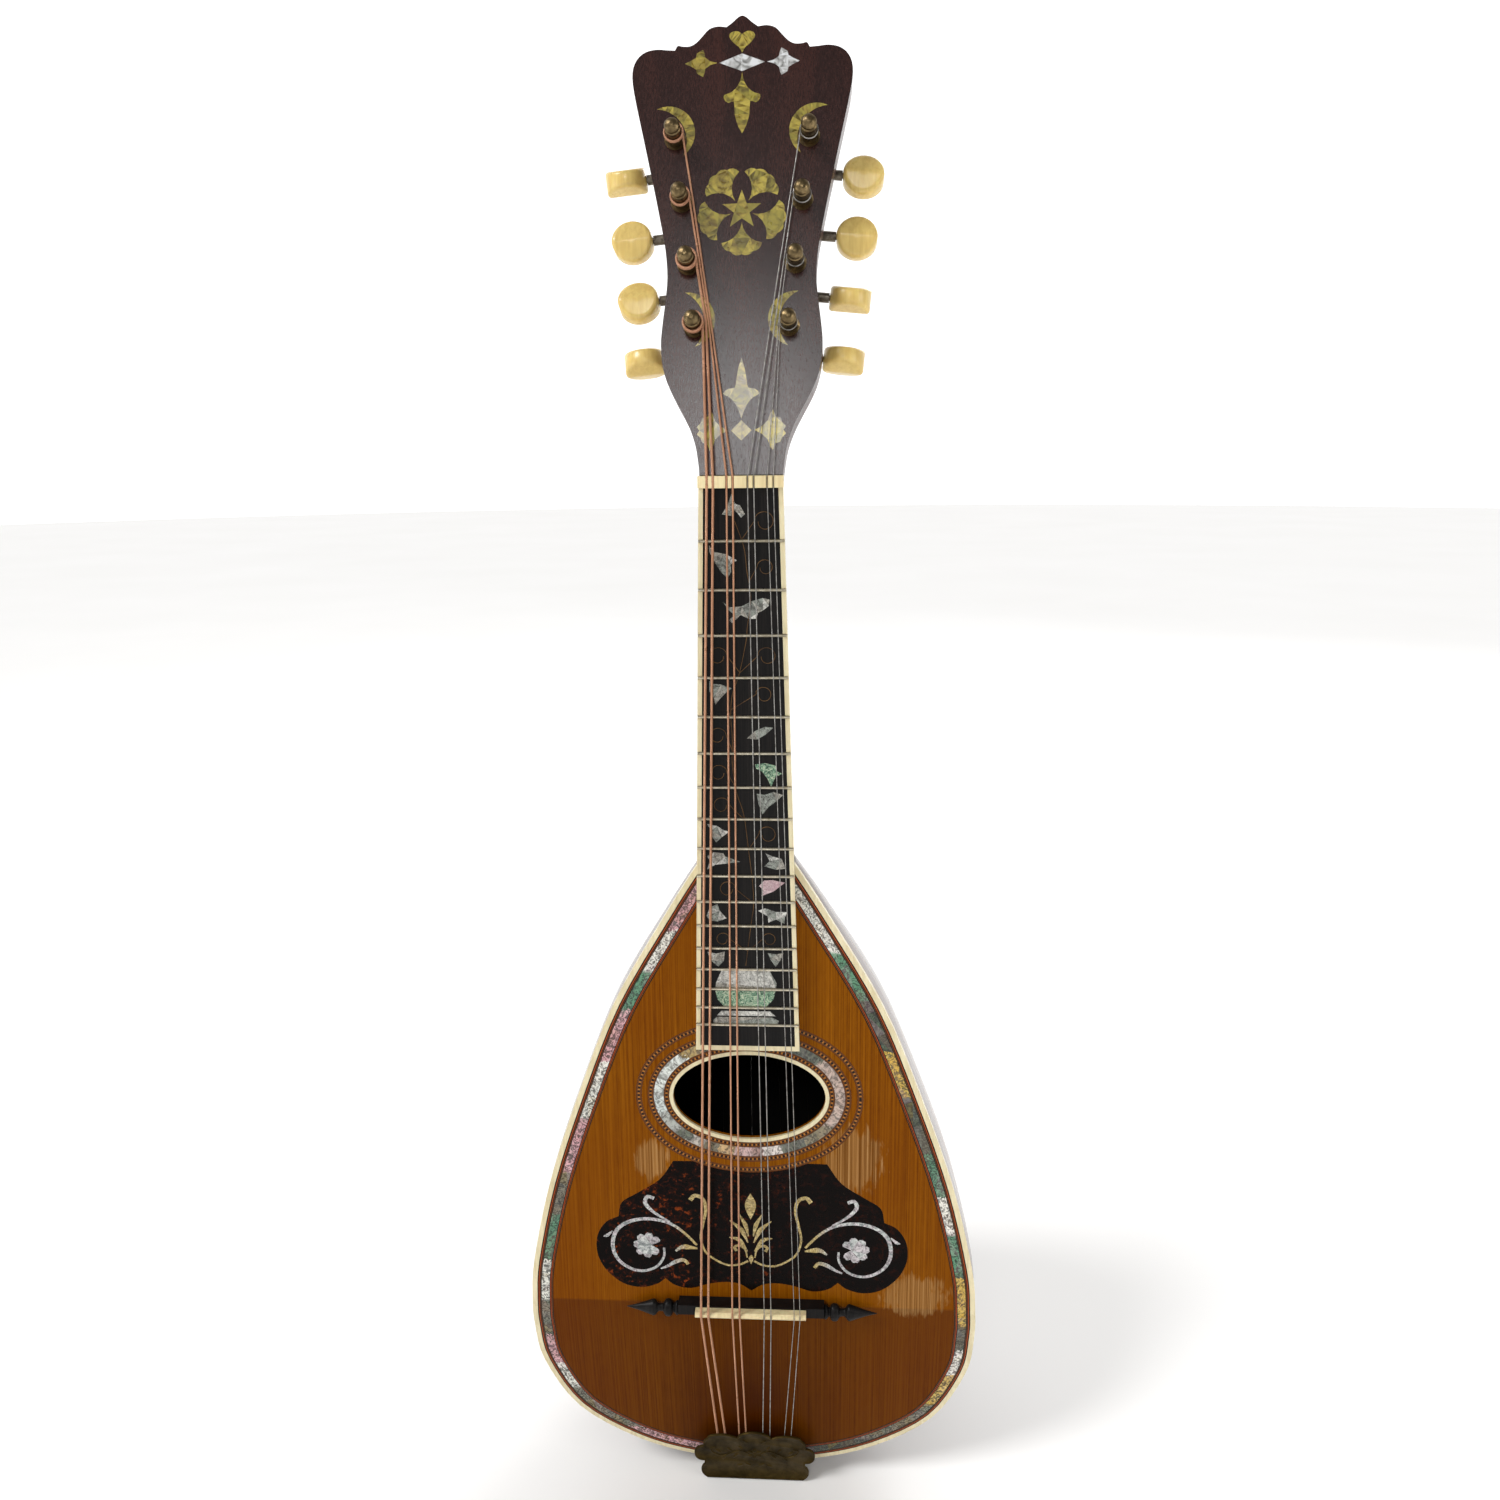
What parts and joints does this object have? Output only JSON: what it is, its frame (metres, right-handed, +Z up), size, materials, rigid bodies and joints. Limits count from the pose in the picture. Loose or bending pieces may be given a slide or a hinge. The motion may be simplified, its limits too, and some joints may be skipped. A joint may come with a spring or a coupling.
{
  "type": "bowl-back mandolin",
  "caption": "Bowl-back mandolin with paired strings, folded spruce soundboard, oval soundhole, pearl bands, geared tuners and a slide-off tailpiece cover.",
  "frame": {"origin": "on the centre line, at the fingerboard side of the nut, in the plane of the soundboard: where a padded wall hanger's fork takes the neck under the headstock", "axes": "+Z up the neck to the headstock, -Y out of the soundboard towards the strings, +X to the thin strings' side"},
  "size_m": [0.1896, 0.1508, 0.5971],
  "materials": {
    "spruce": "aged satin varnish",
    "bowl_wood": "gloss varnish",
    "inner_wood": "bare",
    "neck_wood": "satin varnish",
    "rosewood": "satin",
    "ebony": "polished",
    "bone": "polished bone",
    "ivory_binding": "polished",
    "fret_metal": "polished nickel silver",
    "gold_pearl": "polished shell",
    "white_pearl": "polished shell",
    "abalone": "polished shell",
    "purfling": "varnished",
    "tortoiseshell": "polished",
    "tuner_brass": "aged",
    "worm_steel": "aged",
    "tail_metal": "dark patina",
    "bronze_string": "wound",
    "steel_string": "plain",
    "knob_bone": "polished bone"
  },
  "bodies": {
    "body": {"soundboard": "spruce", "bowl_ribs": "bowl_wood", "bowl_clasp": "bowl_wood", "neck_block": "inner_wood", "tail_block": "inner_wood", "rim_linings": "inner_wood", "soundboard_braces": "inner_wood", "neck": "neck_wood", "headstock": "neck_wood", "headstock_veneer": "rosewood", "fingerboard": "ebony", "fingerboard_binding": "ivory_binding", "frets": "fret_metal", "nut": "bone", "fingerboard_inlays": "white_pearl", "headstock_inlays": "gold_pearl", "rosette_pearl": "abalone", "rosette_rings": "purfling", "soundhole_binding": "ivory_binding", "body_binding": "ivory_binding", "edge_pearl": "abalone", "edge_purfling": "purfling", "pickguard": "tortoiseshell", "pickguard_inlays": "white_pearl", "bridge": "ebony", "saddle": "bone", "tuner_plates": "tuner_brass", "tuner_screws": "tuner_brass", "post_bushings": "tuner_brass", "tailpiece": "tail_metal", "tailpiece_screws": "tail_metal", "strings_g": "bronze_string", "strings_d": "bronze_string", "strings_a": "steel_string", "strings_e": "steel_string"},
    "tail_cover": {"tailpiece_cover": "tail_metal"},
    "tuner_left_1": {"knob_left_1": "knob_bone", "worm_left_1": "worm_steel"},
    "string_post_left_1": {"post_left_1": "tuner_brass"},
    "tuner_left_2": {"knob_left_2": "knob_bone", "worm_left_2": "worm_steel"},
    "string_post_left_2": {"post_left_2": "tuner_brass"},
    "tuner_left_3": {"knob_left_3": "knob_bone", "worm_left_3": "worm_steel"},
    "string_post_left_3": {"post_left_3": "tuner_brass"},
    "tuner_left_4": {"knob_left_4": "knob_bone", "worm_left_4": "worm_steel"},
    "string_post_left_4": {"post_left_4": "tuner_brass"},
    "tuner_right_1": {"knob_right_1": "knob_bone", "worm_right_1": "worm_steel"},
    "string_post_right_1": {"post_right_1": "tuner_brass"},
    "tuner_right_2": {"knob_right_2": "knob_bone", "worm_right_2": "worm_steel"},
    "string_post_right_2": {"post_right_2": "tuner_brass"},
    "tuner_right_3": {"knob_right_3": "knob_bone", "worm_right_3": "worm_steel"},
    "string_post_right_3": {"post_right_3": "tuner_brass"},
    "tuner_right_4": {"knob_right_4": "knob_bone", "worm_right_4": "worm_steel"},
    "string_post_right_4": {"post_right_4": "tuner_brass"}
  },
  "joints": [
    {"name": "cover_slide", "type": "slide", "parent": "body", "child": "tail_cover", "axis": [0, 0.1564, -0.9877], "range_m": [0, 0.03]},
    {"name": "knob_turn_left_1", "type": "hinge", "parent": "body", "child": "tuner_left_1", "pos_m": [-0.02312, 0.03893, 0.11101], "axis": [-0.9945, -0.0235, -0.1018], "continuous": true},
    {"name": "post_turn_left_1", "type": "hinge", "parent": "body", "child": "string_post_left_1", "pos_m": [-0.02379, 0.0258, 0.12058], "axis": [0, -0.9744, 0.225], "continuous": true},
    {"name": "knob_turn_left_2", "type": "hinge", "parent": "body", "child": "tuner_left_2", "pos_m": [-0.02079, 0.03394, 0.0894], "axis": [-0.9945, -0.0235, -0.1018], "continuous": true},
    {"name": "post_turn_left_2", "type": "hinge", "parent": "body", "child": "string_post_left_2", "pos_m": [-0.02146, 0.02081, 0.09897], "axis": [0, -0.9744, 0.225], "continuous": true},
    {"name": "knob_turn_left_3", "type": "hinge", "parent": "body", "child": "tuner_left_3", "pos_m": [-0.01846, 0.02896, 0.06779], "axis": [-0.9945, -0.0235, -0.1018], "continuous": true},
    {"name": "post_turn_left_3", "type": "hinge", "parent": "body", "child": "string_post_left_3", "pos_m": [-0.01913, 0.01582, 0.07736], "axis": [0, -0.9744, 0.225], "continuous": true},
    {"name": "knob_turn_left_4", "type": "hinge", "parent": "body", "child": "tuner_left_4", "pos_m": [-0.01613, 0.02397, 0.04618], "axis": [-0.9945, -0.0235, -0.1018], "continuous": true},
    {"name": "post_turn_left_4", "type": "hinge", "parent": "body", "child": "string_post_left_4", "pos_m": [-0.0168, 0.01083, 0.05575], "axis": [0, -0.9744, 0.225], "continuous": true},
    {"name": "knob_turn_right_1", "type": "hinge", "parent": "body", "child": "tuner_right_1", "pos_m": [0.02312, 0.03893, 0.11101], "axis": [0.9945, -0.0235, -0.1018], "continuous": true},
    {"name": "post_turn_right_1", "type": "hinge", "parent": "body", "child": "string_post_right_1", "pos_m": [0.02379, 0.0258, 0.12058], "axis": [0, -0.9744, 0.225], "continuous": true},
    {"name": "knob_turn_right_2", "type": "hinge", "parent": "body", "child": "tuner_right_2", "pos_m": [0.02079, 0.03394, 0.0894], "axis": [0.9945, -0.0235, -0.1018], "continuous": true},
    {"name": "post_turn_right_2", "type": "hinge", "parent": "body", "child": "string_post_right_2", "pos_m": [0.02146, 0.02081, 0.09897], "axis": [0, -0.9744, 0.225], "continuous": true},
    {"name": "knob_turn_right_3", "type": "hinge", "parent": "body", "child": "tuner_right_3", "pos_m": [0.01846, 0.02896, 0.06779], "axis": [0.9945, -0.0235, -0.1018], "continuous": true},
    {"name": "post_turn_right_3", "type": "hinge", "parent": "body", "child": "string_post_right_3", "pos_m": [0.01913, 0.01582, 0.07736], "axis": [0, -0.9744, 0.225], "continuous": true},
    {"name": "knob_turn_right_4", "type": "hinge", "parent": "body", "child": "tuner_right_4", "pos_m": [0.01613, 0.02397, 0.04618], "axis": [0.9945, -0.0235, -0.1018], "continuous": true},
    {"name": "post_turn_right_4", "type": "hinge", "parent": "body", "child": "string_post_right_4", "pos_m": [0.0168, 0.01083, 0.05575], "axis": [0, -0.9744, 0.225], "continuous": true}
  ],
  "couplings": [
    {"joint": "post_turn_left_1", "follows": "knob_turn_left_1", "ratio": 0.071429},
    {"joint": "post_turn_left_2", "follows": "knob_turn_left_2", "ratio": 0.071429},
    {"joint": "post_turn_left_3", "follows": "knob_turn_left_3", "ratio": 0.071429},
    {"joint": "post_turn_left_4", "follows": "knob_turn_left_4", "ratio": 0.071429},
    {"joint": "post_turn_right_1", "follows": "knob_turn_right_1", "ratio": 0.071429},
    {"joint": "post_turn_right_2", "follows": "knob_turn_right_2", "ratio": 0.071429},
    {"joint": "post_turn_right_3", "follows": "knob_turn_right_3", "ratio": 0.071429},
    {"joint": "post_turn_right_4", "follows": "knob_turn_right_4", "ratio": 0.071429}
  ]
}
